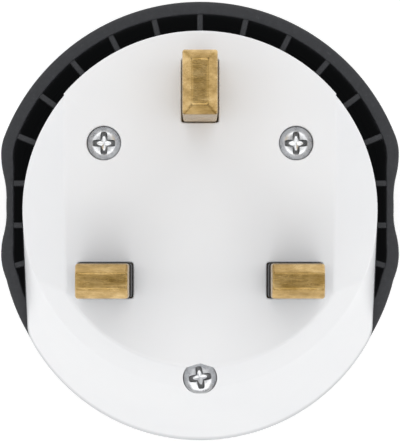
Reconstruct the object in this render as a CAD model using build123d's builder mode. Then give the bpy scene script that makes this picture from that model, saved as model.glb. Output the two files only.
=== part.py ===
from build123d import *

import math
import os

# Travel adapter. Sizes in millimetres, +Z points along the plug pins and +Y towards the earth pin.
# The socket's axis is the Z axis, and its rim lies at Z = 0.

# Socket recess, made for a round two-pin plug with side earth contacts
recess_radius = 19.5
recess_depth = 17.5
recess_floor = 2.5
cup_wall = 2.15
cup_lower_wall = 1.4
socket_pin_spacing = 19.0
socket_hole_radius = 2.7
guide_width = 5.4
guide_projection = 2.5
guide_setback = 1.0
earth_slot_width = 5.4
earth_slot_depth = 1.5
earth_slot_start = 2.5
earth_slot_gap = 0.5

# Ribbed housing around the recess
housing_height = 26.0
cell_depth = 2.29
skirt_wall = 1.56
rim_thickness = 2.5
rim_chamfer = 1.2
rib_count = 27
rib_thickness = 0.7
rib_setback = 0.4
grip_inset = 1.3
waist_inset = 0.55
lobe_radius = 6.0
waist_rise = 2.1
waist_length = 2.9
lower_grip_drop = 5.2
slant_drop = 8.3
corner_drop = 15.4
skirt_overhang = 6.15
skirt_tuck = 2.1

# White plug base
plug_height = 16.0
face_thickness = 3.0
base_wall = 2.46
band_height = 1.0
crown_height = 3.5
base_taper = 0.54
seam_gap = 0.15
side_line_drop = 1.6
skirt_corner_radius = 5.0
face_half_width = 15.85
side_bevel_turn = 0.8
side_bevel_angle = 44.0
lower_bevel = 2.46
lip_depth = 2.5
lip_wall = 1.2

# Plug pins
pin_spacing = 22.2
pin_row_drop = 8.3
earth_pin_rise = 22.23
pin_width = 6.35
pin_thickness = 3.97
pin_reach = 17.7
earth_pin_width = 7.3
earth_pin_reach = 22.7
pin_slot_gap = 0.1
tip_height = 1.7
tip_bevel = 1.05
tip_end_bevel = 0.22
sleeve_reach = 9.5
sleeve_wall = 0.5
foot_height = 2.4
foot_margin = 0.6
foot_end_margin = 0.4
tail_width = 2.2
staked_width = 2.8
staked_height = 0.8
earth_tail_offset = 1.4

# Case screws
upper_screw_x = 11.28
upper_screw_rise = 7.8
lower_screw_outset = 0.3
lower_screw_turn = 9.0
screw_length = 16.0
screw_radius = 1.2
screw_head_radius = 1.95
screw_head_height = 1.5
screw_head_chamfer = 0.25
cross_length = 2.6
cross_width = 0.72
cross_depth = 0.9
upper_seat_drop = 2.2
lower_seat_drop = 4.8
head_gap = 0.15
shank_gap = 0.15
thread_bite = 0.05
boss_radius = 2.4
boss_drop = 9.0
screw_tip_room = 0.6

# Contacts and their carrier
contact_radius = 2.4
contact_wall = 0.6
contact_slit = 0.7
contact_slit_length = 9.0
contact_flange = 0.6
strip_thickness = 0.6
tab_width = 4.8
carrier_gap = 0.25
carrier_plate = 2.0
tower_wall = 1.15
pedestal_height = 1.4
pedestal_width = 4.6

# Fuse and its clips
fuse_length = 25.4
fuse_cap_radius = 3.175
fuse_cap_length = 6.0
fuse_tube_radius = 2.95
fuse_room = 1.3
clip_thickness = 0.5
clip_width = 5.0
clip_gap = 0.05
clip_lift = 2.0

# Earth spring and its link to the earth pin
spring_width = 4.6
spring_thickness = 0.7
spring_arm_gap = 0.5
spring_bulge = 2.55
spring_bend_radius = 0.8
spring_knee_drop = 8.0
spring_bulge_drop = 13.0
spring_end_drop = 16.5
spring_end_outset = 2.0
link_thickness = 0.7
link_gap = 0.2
link_frame_width = 1.6
link_width = 5.0
link_wall_gap = 0.8
link_tab_margin = 2.1

# Levels along the pins
floor_top = recess_depth + recess_floor
face_level = housing_height + plug_height
inner_face = face_level - face_thickness
crown_level = face_level - crown_height
band_top = housing_height + band_height
boss_top = inner_face - boss_drop
upper_seat = face_level - upper_seat_drop
lower_seat = face_level - lower_seat_drop
pin_foot_bottom = inner_face - foot_height
spring_top = floor_top + spring_thickness
link_top = spring_top + link_thickness
carrier_top = link_top + carrier_plate
clip_bottom = carrier_top + pedestal_height
fuse_axis = clip_bottom + clip_thickness + clip_gap + fuse_cap_radius
clip_centre = (fuse_length - fuse_cap_length) / 2
contact_tab_bottom = fuse_axis + fuse_cap_radius + fuse_room
contact_tab_top = contact_tab_bottom + strip_thickness

# Radii and half widths about the socket's axis
cup_radius = recess_radius + cup_wall
base_radius = cup_radius - seam_gap
ring_radius = cup_radius + cell_depth + skirt_wall
grip_half_width = ring_radius - grip_inset
waist_half_width = grip_half_width - waist_inset
skirt_reach = cup_radius + skirt_overhang
skirt_radius = ring_radius - skirt_tuck
skirt_centre = skirt_radius - skirt_reach
crown_radius = base_radius - base_taper
cavity_radius = crown_radius - base_wall
face_lower_radius = crown_radius - lower_bevel
socket_pin_y = socket_pin_spacing / 2

pin_x = pin_spacing / 2
earth_pin_y = earth_pin_rise - pin_row_drop
lower_screw_y = -(recess_radius + lower_screw_outset)
upper_screws = [(-upper_screw_x, upper_screw_rise), (upper_screw_x, upper_screw_rise)]
all_screws = upper_screws + [(0, lower_screw_y)]

# Where the skirt's slanting sides meet its lower arc
corner_x = math.sqrt(skirt_radius**2 - (corner_drop + skirt_centre) ** 2)
corner_angle = math.degrees(math.atan2(-corner_drop - skirt_centre, corner_x))

os.makedirs("parts", exist_ok=True)


# Outline of the housing: a round top, waisted grips at the sides and a drop-shaped lower end
lobe_x = grip_half_width - lobe_radius
lobe_y = math.sqrt((ring_radius - lobe_radius) ** 2 - lobe_x**2)
lobe_angle = math.degrees(math.atan2(lobe_y, lobe_x))
waist_middle = waist_rise - waist_length
half_inset = waist_half_width + waist_inset / 2

with BuildSketch() as housing_outline:
    with BuildLine():
        CenterArc((lobe_x, lobe_y), lobe_radius, 0, lobe_angle)
        TangentArc(
            (grip_half_width, lobe_y),
            (half_inset, (lobe_y + waist_rise) / 2),
            tangent=(0, -1),
        )
        TangentArc(
            (waist_half_width, waist_rise),
            (half_inset, (lobe_y + waist_rise) / 2),
            tangent=(0, 1),
        )
        Line((waist_half_width, waist_rise), (waist_half_width, waist_middle))
        TangentArc(
            (waist_half_width, waist_middle),
            (half_inset, (waist_middle - lower_grip_drop) / 2),
            tangent=(0, -1),
        )
        TangentArc(
            (grip_half_width, -lower_grip_drop),
            (half_inset, (waist_middle - lower_grip_drop) / 2),
            tangent=(0, 1),
        )
        TangentArc(
            (grip_half_width, -lower_grip_drop),
            (waist_half_width, -slant_drop),
            tangent=(0, -1),
        )
        Line((waist_half_width, -slant_drop), (corner_x, -corner_drop))
        mirror(about=Plane.YZ)
        CenterArc((0, 0), ring_radius, lobe_angle, 180 - 2 * lobe_angle)
        CenterArc((0, skirt_centre), skirt_radius, -180 - corner_angle, 180 + 2 * corner_angle)
    make_face()

# Outline of the white base: round above, straight at the sides, drop-shaped below
side_line_x = math.sqrt(base_radius**2 - side_line_drop**2)
side_line_angle = math.degrees(math.asin(side_line_drop / base_radius))

with BuildSketch() as base_outline:
    with BuildLine():
        CenterArc((0, 0), base_radius, -side_line_angle, 180 + 2 * side_line_angle)
        Line((side_line_x, -side_line_drop), (corner_x, -corner_drop))
        mirror(about=Plane.YZ)
        CenterArc((0, skirt_centre), skirt_radius, -180 - corner_angle, 180 + 2 * corner_angle)
    make_face()
    lower_corners = base_outline.vertices().group_by(Axis.Y)[0]
    fillet(lower_corners, radius=skirt_corner_radius)

# Black housing with the socket recess
with BuildPart() as socket_housing:
    with BuildSketch():
        add(housing_outline.sketch)
    extrude(amount=housing_height)
    chamfer(socket_housing.edges().group_by(Axis.Z)[0], length=rim_chamfer)
    # Space behind the outer wall
    with BuildSketch(Plane.XY.offset(rim_thickness)):
        add(housing_outline.sketch)
        offset(amount=-skirt_wall, mode=Mode.REPLACE)
    extrude(amount=housing_height, mode=Mode.SUBTRACT)
    # Wall that carries the white base
    with BuildSketch(Plane.XY.offset(rim_thickness)):
        offset(base_outline.sketch, amount=seam_gap)
        add(housing_outline.sketch, mode=Mode.INTERSECT)
        offset(base_outline.sketch, amount=recess_radius - base_radius, mode=Mode.SUBTRACT)
    extrude(amount=housing_height - rim_thickness)
    # Thin ribs that join the two walls
    with BuildSketch(Plane.XY.offset(rim_thickness)):
        with PolarLocations((cup_radius + ring_radius) / 2, rib_count, start_angle=90):
            Rectangle(cell_depth + 2 * skirt_wall, rib_thickness)
        offset(housing_outline.sketch, amount=-skirt_wall / 2, mode=Mode.INTERSECT)
        offset(base_outline.sketch, amount=-skirt_wall / 2, mode=Mode.SUBTRACT)
    extrude(amount=housing_height - rib_setback - rim_thickness)
    # Cup around the recess and the pillars of the case screws
    with BuildSketch(Plane.XY.offset(rim_thickness)):
        Circle(recess_radius + cup_lower_wall)
    extrude(amount=floor_top - rim_thickness)
    with BuildSketch(Plane.XY.offset(floor_top)):
        with Locations(*upper_screws):
            Circle(boss_radius)
    extrude(amount=boss_top - floor_top)
    with BuildSketch(Plane.XY.offset(rim_thickness)):
        with Locations((0, lower_screw_y)):
            Circle(boss_radius)
    extrude(amount=boss_top - rim_thickness)
    # Recess with a guide at each end of the row of pin holes
    with BuildSketch():
        Circle(recess_radius)
    extrude(amount=recess_depth, mode=Mode.SUBTRACT)
    guide_root = cup_lower_wall / 2
    guide_y = recess_radius + (guide_root - guide_projection) / 2
    for side in (-1, 1):
        with BuildSketch(Plane.XY.offset(guide_setback)):
            with Locations((0, side * guide_y)):
                Rectangle(guide_width, guide_projection + guide_root)
        extrude(amount=recess_depth + recess_floor / 2 - guide_setback)
    # Holes for the plug's pins, slots for the earth spring, holes for the screws
    with BuildSketch(Plane.XY.offset(recess_depth)):
        with Locations((0, socket_pin_y), (0, -socket_pin_y)):
            Circle(socket_hole_radius)
    extrude(amount=recess_floor, mode=Mode.SUBTRACT)
    for side in (-1, 1):
        with BuildSketch(Plane.XY.offset(earth_slot_start)):
            with Locations((side * recess_radius, 0)):
                Rectangle(2 * earth_slot_depth, earth_slot_width)
        extrude(amount=spring_top + earth_slot_gap - earth_slot_start, mode=Mode.SUBTRACT)
    for centres, seat in ((upper_screws, upper_seat), ([(0, lower_screw_y)], lower_seat)):
        hole_bottom = seat - screw_length - screw_tip_room
        with BuildSketch(Plane.XY.offset(hole_bottom)):
            with Locations(*centres):
                Circle(screw_radius + thread_bite)
        extrude(amount=boss_top - hole_bottom, mode=Mode.SUBTRACT)


def side_bevels(half_width):
    # What the flat bevels at the two sides of the plug face take away, from this half width on
    across = crown_radius + 1 - half_width
    down = across * math.tan(math.radians(side_bevel_angle))
    with BuildPart() as bevels:
        for side in (-1, 1):
            with BuildSketch(Plane.XZ.rotated((0, 0, side * side_bevel_turn))):
                with BuildLine():
                    Polyline(
                        (side * half_width, face_level),
                        (side * (half_width + across), face_level),
                        (side * (half_width + across), face_level - down),
                        close=True,
                    )
                make_face()
            extrude(amount=skirt_reach, both=True)
    return bevels.part


# Space inside the white base, around the tubes of its screws
inner_bevel_inset = base_wall / math.sin(math.radians(side_bevel_angle))
skirt_slope = (skirt_reach - crown_radius) / (crown_level - band_top)
lower_space_wall = base_wall + skirt_slope * (boss_top - band_top)
with BuildPart() as base_space:
    with BuildSketch(Plane.XY.offset(housing_height)):
        offset(base_outline.sketch, amount=-lower_space_wall)
        Circle(cavity_radius)
    extrude(amount=boss_top - housing_height)
    with BuildSketch(Plane.XY.offset(boss_top)):
        Circle(cavity_radius)
        with Locations(*all_screws):
            Circle(boss_radius, mode=Mode.SUBTRACT)
    extrude(amount=inner_face - boss_top)
    add(side_bevels(face_half_width - inner_bevel_inset), mode=Mode.SUBTRACT)

# Lower half of the base's outline, and the half disc that its skirt runs up to
with BuildSketch(Plane.XY.offset(band_top)) as skirt_foot:
    add(base_outline.sketch)
    with Locations((0, -side_line_drop)):
        Rectangle(
            2 * skirt_reach, skirt_reach, align=(Align.CENTER, Align.MAX), mode=Mode.INTERSECT
        )

corner_angles = [math.degrees(math.atan2(v.Y, v.X)) % 360 for v in skirt_foot.vertices()]
side_end_angle = math.degrees(math.asin(side_line_drop / crown_radius))
skirt_angles = [180 + side_end_angle, *sorted(corner_angles)[1:-1], 360 - side_end_angle]
with BuildLine(Plane.XY.offset(crown_level)) as skirt_crown:
    arcs = [
        CenterArc((0, 0), crown_radius, start, end - start)
        for start, end in zip(skirt_angles, skirt_angles[1:])
    ]
    Line(arcs[-1] @ 1, arcs[0] @ 0)

# White base with the plug face
with BuildPart() as plug_base:
    # Round body with its bevelled head
    with BuildSketch(Plane.XZ):
        with BuildLine():
            Polyline(
                (0, housing_height),
                (base_radius, housing_height),
                (base_radius, band_top),
                (crown_radius, crown_level),
                (face_lower_radius, face_level),
                (0, face_level),
                close=True,
            )
        make_face()
    revolve(axis=Axis.Z)
    # The upper half of the head has no bevel
    with BuildSketch(Plane.XY.offset(crown_level)):
        Circle(crown_radius)
        Rectangle(
            2 * crown_radius, crown_radius, align=(Align.CENTER, Align.MIN), mode=Mode.INTERSECT
        )
    extrude(amount=crown_height)
    # Drop-shaped band and the skirt that slopes up from it
    with BuildSketch(Plane.XY.offset(housing_height)):
        add(base_outline.sketch)
    extrude(amount=band_height)
    loft([skirt_foot.sketch.face(), Face(skirt_crown.wire())], ruled=True)
    add(side_bevels(face_half_width), mode=Mode.SUBTRACT)
    add(base_space.part, mode=Mode.SUBTRACT)
    # Lip that centres the base in the housing
    with BuildSketch(Plane.XY.offset(housing_height - lip_depth)):
        offset(base_outline.sketch, amount=recess_radius - base_radius - seam_gap)
        offset(
            base_outline.sketch,
            amount=recess_radius - base_radius - seam_gap - lip_wall,
            mode=Mode.SUBTRACT,
        )
    extrude(amount=lip_depth + band_height)
    # Slots for the three pins
    with BuildSketch(Plane.XY.offset(inner_face)):
        with Locations((-pin_x, -pin_row_drop), (pin_x, -pin_row_drop)):
            Rectangle(pin_width + 2 * pin_slot_gap, pin_thickness + 2 * pin_slot_gap)
        with Locations((0, earth_pin_y)):
            Rectangle(pin_thickness + 2 * pin_slot_gap, earth_pin_width + 2 * pin_slot_gap)
    extrude(amount=face_thickness, mode=Mode.SUBTRACT)
    # Sunk seats and holes for the screws
    for centres, seat in ((upper_screws, upper_seat), ([(0, lower_screw_y)], lower_seat)):
        with BuildSketch(Plane.XY.offset(seat)):
            with Locations(*centres):
                Circle(screw_head_radius + head_gap)
        extrude(amount=face_level - seat, mode=Mode.SUBTRACT)
        with BuildSketch(Plane.XY.offset(boss_top)):
            with Locations(*centres):
                Circle(screw_radius + shank_gap)
        extrude(amount=seat - boss_top, mode=Mode.SUBTRACT)


def plug_pin(centre, size, bevels, reach, neck, foot_bottom, strip_top, tail_centre):
    # Brass pin: bevelled tip, blade, narrowed neck, foot behind the face, staked tail
    shoulder = inner_face + neck if neck else inner_face
    neck_size = (size[0] - 2 * sleeve_wall, size[1] - 2 * sleeve_wall) if neck else size
    tip = face_level + reach
    strip_bottom = strip_top - strip_thickness
    wide = size[0] + 2 * (foot_end_margin if size[0] > size[1] else foot_margin)
    tall = size[1] + 2 * (foot_margin if size[0] > size[1] else foot_end_margin)
    with BuildPart() as pin:
        with BuildSketch(Plane.XY.offset(foot_bottom)):
            with Locations(centre):
                Rectangle(wide, tall)
            Circle(cavity_radius - seam_gap, mode=Mode.INTERSECT)
        extrude(amount=inner_face - foot_bottom)
        if neck:
            with BuildSketch(Plane.XY.offset(inner_face)):
                with Locations(centre):
                    Rectangle(*neck_size)
            extrude(amount=neck)
        with BuildSketch(Plane.XY.offset(shoulder)):
            with Locations(centre):
                Rectangle(*size)
        extrude(amount=tip - tip_height - shoulder)
        with BuildSketch(Plane.XY.offset(tip - tip_height)):
            with Locations(centre):
                Rectangle(*size)
        with BuildSketch(Plane.XY.offset(tip)):
            with Locations(centre):
                Rectangle(size[0] - 2 * bevels[0], size[1] - 2 * bevels[1])
        loft(ruled=True)
        with BuildSketch(Plane.XY.offset(strip_bottom)):
            with Locations(tail_centre):
                Rectangle(tail_width, tail_width)
        extrude(amount=foot_bottom - strip_bottom)
        with BuildSketch(Plane.XY.offset(strip_bottom - staked_height)):
            with Locations(tail_centre):
                Rectangle(staked_width, staked_width)
        extrude(amount=staked_height)
    return pin


live_centre = (-pin_x, -pin_row_drop)
neutral_centre = (pin_x, -pin_row_drop)
earth_centre = (0, earth_pin_y)
earth_tail = (0, earth_pin_y + earth_tail_offset)
blade_size = (pin_width, pin_thickness)
blade_bevels = (tip_end_bevel, tip_bevel)
earth_size = (pin_thickness, earth_pin_width)
earth_bevels = (tip_bevel, tip_bevel)
neck_length = face_thickness + sleeve_reach

live_pin = plug_pin(
    live_centre, blade_size, blade_bevels, pin_reach, neck_length,
    pin_foot_bottom, pin_foot_bottom, live_centre,
)
neutral_pin = plug_pin(
    neutral_centre, blade_size, blade_bevels, pin_reach, neck_length,
    contact_tab_top, contact_tab_top, neutral_centre,
)
earth_pin = plug_pin(
    earth_centre, earth_size, earth_bevels, earth_pin_reach, 0,
    pin_foot_bottom, pin_foot_bottom, earth_tail,
)


def pin_sleeve(centre):
    # Black insulation around the neck of a blade
    with BuildPart() as sleeve:
        with BuildSketch(Plane.XY.offset(inner_face)):
            with Locations(centre):
                Rectangle(*blade_size)
                Rectangle(
                    pin_width - 2 * sleeve_wall,
                    pin_thickness - 2 * sleeve_wall,
                    mode=Mode.SUBTRACT,
                )
        extrude(amount=neck_length)
    return sleeve


live_pin_sleeve = pin_sleeve(live_centre)
neutral_pin_sleeve = pin_sleeve(neutral_centre)


def case_screw(centre, seat, turn):
    # Round-headed screw with a cross recess
    with BuildPart() as screw:
        with BuildSketch(Plane.XY.offset(seat - screw_length)):
            with Locations(centre):
                Circle(screw_radius)
        extrude(amount=screw_length)
        with BuildSketch(Plane.XY.offset(seat)):
            with Locations(centre):
                Circle(screw_head_radius)
        extrude(amount=screw_head_height)
        chamfer(screw.edges().group_by(Axis.Z)[-1], length=screw_head_chamfer)
        with BuildSketch(Plane.XY.offset(seat + screw_head_height - cross_depth)):
            with Locations(Location((centre[0], centre[1]), turn)):
                Rectangle(cross_length, cross_width)
                Rectangle(cross_width, cross_length)
        extrude(amount=cross_depth, mode=Mode.SUBTRACT)
    return screw


case_screw_left = case_screw(upper_screws[0], upper_seat, 0)
case_screw_right = case_screw(upper_screws[1], upper_seat, 0)
case_screw_lower = case_screw((0, lower_screw_y), lower_seat, lower_screw_turn)

# Block that holds the contacts and the fuse: a crossed plate, two towers and two pedestals
tower_inner = contact_radius + contact_wall + carrier_gap
tower_half = tower_inner + tower_wall
with BuildPart() as contact_carrier:
    with BuildSketch(Plane.XY.offset(link_top)):
        Rectangle(2 * tower_half, socket_pin_spacing + 2 * tower_half)
        Rectangle(2 * clip_centre + pedestal_width, pedestal_width)
    extrude(amount=carrier_plate)
    with BuildSketch(Plane.XY.offset(floor_top)):
        with Locations((0, socket_pin_y), (0, -socket_pin_y)):
            Rectangle(2 * tower_half, 2 * tower_half)
    extrude(amount=contact_tab_bottom - floor_top)
    with BuildSketch(Plane.XY.offset(carrier_top)):
        with Locations((-clip_centre, 0), (clip_centre, 0)):
            Rectangle(pedestal_width, pedestal_width)
    extrude(amount=pedestal_height)
    with BuildSketch(Plane.XY.offset(floor_top)):
        with Locations((0, socket_pin_y), (0, -socket_pin_y)):
            Circle(tower_inner)
    extrude(amount=contact_tab_bottom - floor_top, mode=Mode.SUBTRACT)

# Contact tubes for the mating plug, each with a flat tab on top
contact_outer = contact_radius + contact_wall
flange_radius = contact_outer + contact_flange
clip_inner = fuse_cap_radius + clip_gap
clip_outer = clip_inner + clip_thickness
tail_hole = tail_width + 2 * clip_gap

with BuildSketch() as live_tab:
    with Locations((0, socket_pin_y)):
        Circle(flange_radius)
    with BuildLine():
        Polyline(
            (-tab_width / 2, socket_pin_y - tab_width / 2),
            (clip_centre - clip_width / 2, clip_inner - clip_thickness),
            (clip_centre + clip_width / 2, clip_inner - clip_thickness),
            (clip_centre + clip_width / 2, clip_outer),
            (clip_centre, clip_outer + clip_thickness),
            (tab_width / 2, socket_pin_y),
            close=True,
        )
    make_face()

with BuildSketch() as neutral_tab:
    with Locations((0, -socket_pin_y)):
        Circle(flange_radius)
    with BuildLine():
        Polyline(
            (0, -socket_pin_y - tab_width / 2),
            (pin_x, -pin_row_drop - tab_width / 2),
            (pin_x + tab_width / 2, -pin_row_drop - tab_width / 2),
            (pin_x + tab_width / 2, -pin_row_drop + tab_width / 2),
            (pin_x, -pin_row_drop + tab_width / 2),
            (0, -socket_pin_y + tab_width / 2),
            close=True,
        )
    make_face()
    with Locations(neutral_centre):
        Rectangle(tail_hole, tail_hole, mode=Mode.SUBTRACT)


def contact_tube(centre_y, tab):
    # Slit tube that grips a round pin, with its tab
    with BuildPart() as contact:
        with BuildSketch(Plane.XY.offset(contact_tab_bottom)):
            add(tab)
        extrude(amount=strip_thickness)
        with BuildSketch(Plane.XY.offset(floor_top)):
            with Locations((0, centre_y)):
                Circle(contact_outer)
        extrude(amount=contact_tab_bottom - floor_top)
        with BuildSketch(Plane.XY.offset(floor_top)):
            with Locations((0, centre_y)):
                Circle(contact_radius)
        extrude(amount=contact_tab_top - floor_top, mode=Mode.SUBTRACT)
        with BuildSketch(Plane.XY.offset(floor_top)):
            with Locations((0, centre_y)):
                Rectangle(2 * contact_outer + 1, contact_slit)
        extrude(amount=contact_slit_length, mode=Mode.SUBTRACT)
    return contact


live_contact = contact_tube(socket_pin_y, live_tab.sketch)
neutral_contact = contact_tube(-socket_pin_y, neutral_tab.sketch)

# Cartridge fuse along X, between the two contact tubes
with BuildPart() as fuse_tube:
    with BuildSketch(Plane.YZ.offset(-fuse_length / 2 + fuse_cap_length)):
        with Locations((0, fuse_axis)):
            Circle(fuse_tube_radius)
    extrude(amount=fuse_length - 2 * fuse_cap_length)


def fuse_cap(start):
    # Metal cap on one end of the fuse
    with BuildPart() as cap:
        with BuildSketch(Plane.YZ.offset(start)):
            with Locations((0, fuse_axis)):
                Circle(fuse_cap_radius)
        extrude(amount=fuse_cap_length)
    return cap


fuse_cap_supply = fuse_cap(-fuse_length / 2)
fuse_cap_load = fuse_cap(fuse_length / 2 - fuse_cap_length)


def fuse_clip(centre_x, riser_side, riser_top):
    # Spring clip shaped like a U, one side of which goes on upwards as a strip
    short_top = fuse_axis + clip_lift
    with BuildPart() as clip:
        with BuildSketch(Plane.YZ.offset(centre_x - clip_width / 2)):
            with Locations((0, fuse_axis)):
                Circle(clip_outer)
            with Locations((0, fuse_axis + clip_outer)):
                Rectangle(2 * clip_outer, 2 * clip_outer, mode=Mode.SUBTRACT)
            with Locations((-riser_side * (clip_inner + clip_outer) / 2, fuse_axis)):
                Rectangle(clip_thickness, clip_lift, align=(Align.CENTER, Align.MIN))
            with Locations((riser_side * (clip_inner + clip_outer) / 2, fuse_axis)):
                Rectangle(
                    clip_thickness, riser_top - fuse_axis, align=(Align.CENTER, Align.MIN)
                )
            with Locations((0, fuse_axis)):
                Circle(clip_inner, mode=Mode.SUBTRACT)
        extrude(amount=clip_width)
    return clip


# The supply clip's strip folds over and lies under the live pin
clip_left = clip_centre + clip_width / 2
with BuildPart() as fuse_clip_supply:
    add(fuse_clip(-clip_centre, -1, pin_foot_bottom).part)
    with BuildSketch(Plane.XY.offset(pin_foot_bottom - strip_thickness)):
        with BuildLine():
            Polyline(
                (-clip_left, -clip_inner),
                (-pin_x - tab_width / 2, -pin_row_drop + tab_width / 2),
                (-pin_x - tab_width / 2, -pin_row_drop - tab_width / 2),
                (-pin_x + tab_width / 2, -pin_row_drop - tab_width / 2),
                (-clip_centre + clip_width / 2, -clip_inner),
                close=True,
            )
        make_face()
        with Locations(live_centre):
            Rectangle(tail_hole, tail_hole, mode=Mode.SUBTRACT)
    extrude(amount=strip_thickness)

fuse_clip_load = fuse_clip(clip_centre, 1, contact_tab_bottom)

# Earth spring: a strip on the recess floor whose ends reach down into the side slots
arm_x = recess_radius + spring_arm_gap
bulge_x = recess_radius - spring_bulge + spring_thickness / 2
strip_z = floor_top + spring_thickness / 2
with BuildPart() as earth_spring:
    with BuildSketch(Plane.XZ.offset(-spring_width / 2)):
        with BuildLine():
            FilletPolyline(
                (-bulge_x - spring_end_outset, floor_top - spring_end_drop),
                (-bulge_x, floor_top - spring_bulge_drop),
                (-arm_x, floor_top - spring_knee_drop),
                (-arm_x, strip_z),
                (arm_x, strip_z),
                (arm_x, floor_top - spring_knee_drop),
                (bulge_x, floor_top - spring_bulge_drop),
                (bulge_x + spring_end_outset, floor_top - spring_end_drop),
                radius=spring_bend_radius,
            )
        trace(line_width=spring_thickness)
    extrude(amount=spring_width)

# Earth link: lies on the spring, passes round the live tower and rises under the earth pin
link_inner = tower_half + link_gap
link_outer = link_inner + link_frame_width
riser_outer = cavity_radius - link_wall_gap
riser_inner = riser_outer - link_thickness
link_tab_length = riser_outer - earth_tail[1] + link_tab_margin
with BuildPart() as earth_link:
    with BuildSketch(Plane.XY.offset(spring_top)):
        with Locations((0, -spring_width / 2)):
            Rectangle(link_width, socket_pin_y, align=(Align.CENTER, Align.MIN))
        with Locations((0, socket_pin_y)):
            Rectangle(link_width, riser_outer - socket_pin_y, align=(Align.CENTER, Align.MIN))
        with Locations((0, socket_pin_y)):
            Rectangle(2 * link_outer, 2 * link_outer)
            Rectangle(2 * link_inner, 2 * link_inner, mode=Mode.SUBTRACT)
    extrude(amount=link_thickness)
    with BuildSketch(Plane.XY.offset(spring_top)):
        with Locations((0, riser_inner)):
            Rectangle(link_width, link_thickness, align=(Align.CENTER, Align.MIN))
    extrude(amount=pin_foot_bottom - spring_top)
    with BuildSketch(Plane.XY.offset(pin_foot_bottom - strip_thickness)):
        with Locations((0, riser_outer)):
            Rectangle(link_width, link_tab_length, align=(Align.CENTER, Align.MAX))
        with Locations(earth_tail):
            Rectangle(tail_hole, tail_hole, mode=Mode.SUBTRACT)
    extrude(amount=strip_thickness)

socket_housing.part.label = "socket_housing"
export_step(socket_housing.part, "parts/socket_housing.step")
plug_base.part.label = "plug_base"
export_step(plug_base.part, "parts/plug_base.step")
contact_carrier.part.label = "contact_carrier"
export_step(contact_carrier.part, "parts/contact_carrier.step")
live_pin.part.label = "live_pin"
export_step(live_pin.part, "parts/live_pin.step")
neutral_pin.part.label = "neutral_pin"
export_step(neutral_pin.part, "parts/neutral_pin.step")
earth_pin.part.label = "earth_pin"
export_step(earth_pin.part, "parts/earth_pin.step")
live_pin_sleeve.part.label = "live_pin_sleeve"
export_step(live_pin_sleeve.part, "parts/live_pin_sleeve.step")
neutral_pin_sleeve.part.label = "neutral_pin_sleeve"
export_step(neutral_pin_sleeve.part, "parts/neutral_pin_sleeve.step")
live_contact.part.label = "live_contact"
export_step(live_contact.part, "parts/live_contact.step")
neutral_contact.part.label = "neutral_contact"
export_step(neutral_contact.part, "parts/neutral_contact.step")
earth_spring.part.label = "earth_spring"
export_step(earth_spring.part, "parts/earth_spring.step")
earth_link.part.label = "earth_link"
export_step(earth_link.part, "parts/earth_link.step")
fuse_tube.part.label = "fuse_tube"
export_step(fuse_tube.part, "parts/fuse_tube.step")
fuse_cap_supply.part.label = "fuse_cap_supply"
export_step(fuse_cap_supply.part, "parts/fuse_cap_supply.step")
fuse_cap_load.part.label = "fuse_cap_load"
export_step(fuse_cap_load.part, "parts/fuse_cap_load.step")
fuse_clip_supply.part.label = "fuse_clip_supply"
export_step(fuse_clip_supply.part, "parts/fuse_clip_supply.step")
fuse_clip_load.part.label = "fuse_clip_load"
export_step(fuse_clip_load.part, "parts/fuse_clip_load.step")
case_screw_left.part.label = "case_screw_left"
export_step(case_screw_left.part, "parts/case_screw_left.step")
case_screw_right.part.label = "case_screw_right"
export_step(case_screw_right.part, "parts/case_screw_right.step")
case_screw_lower.part.label = "case_screw_lower"
export_step(case_screw_lower.part, "parts/case_screw_lower.step")
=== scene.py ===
import math

import bmesh
import bpy
import numpy as np
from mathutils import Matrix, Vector


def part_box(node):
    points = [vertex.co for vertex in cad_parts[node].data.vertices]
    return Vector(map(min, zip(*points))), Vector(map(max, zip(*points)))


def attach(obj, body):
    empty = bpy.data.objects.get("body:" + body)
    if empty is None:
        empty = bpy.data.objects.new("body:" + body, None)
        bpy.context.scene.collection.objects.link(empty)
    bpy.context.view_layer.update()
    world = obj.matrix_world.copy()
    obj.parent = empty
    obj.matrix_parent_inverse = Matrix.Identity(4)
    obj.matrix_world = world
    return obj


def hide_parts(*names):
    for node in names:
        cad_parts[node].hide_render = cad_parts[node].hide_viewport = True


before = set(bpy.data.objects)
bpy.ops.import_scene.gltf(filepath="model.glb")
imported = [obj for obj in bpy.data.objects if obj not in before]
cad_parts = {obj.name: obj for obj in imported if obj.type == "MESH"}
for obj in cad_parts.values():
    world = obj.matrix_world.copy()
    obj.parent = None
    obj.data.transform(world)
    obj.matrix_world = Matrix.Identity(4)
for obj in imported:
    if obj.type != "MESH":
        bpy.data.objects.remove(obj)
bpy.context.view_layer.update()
print("scene: frame loaded")

# Lengths are in millimetres about the socket's axis, and meshes are written in metres
mm = 0.001


def arcPoints(centre, radius, startDeg, endDeg, count):
    # centre + radius * (cos t, sin t), t from the start angle to the end angle
    turn = np.radians(np.linspace(startDeg, endDeg, count))
    return np.column_stack((centre[0] + radius * np.cos(turn), centre[1] + radius * np.sin(turn)))


def easedSide(startX, endX, startY, endY, count):
    # x = start + (end - start) * e(u), e = 2u^2 up to the middle and 1 - 2(1-u)^2 after it
    u = np.linspace(0, 1, count)
    e = np.where(u < 0.5, 2 * u**2, 1 - 2 * (1 - u) ** 2)
    return np.column_stack((startX + (endX - startX) * e, startY + (endY - startY) * u))


def outlineRadius(points):
    # Right half of an outline from top to bottom -> function giving its distance from the axis
    angles = np.arctan2(points[:, 1], points[:, 0])
    order = np.argsort(angles)
    angles, radii = angles[order], np.hypot(points[:, 0], points[:, 1])[order]

    def radiusAt(theta):
        folded = np.arcsin(np.clip(np.sin(theta), -1, 1))
        return np.interp(folded, angles, radii)

    return radiusAt


def nodeBox(node):
    low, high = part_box(node)
    return np.array(low) / mm, np.array(high) / mm


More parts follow.
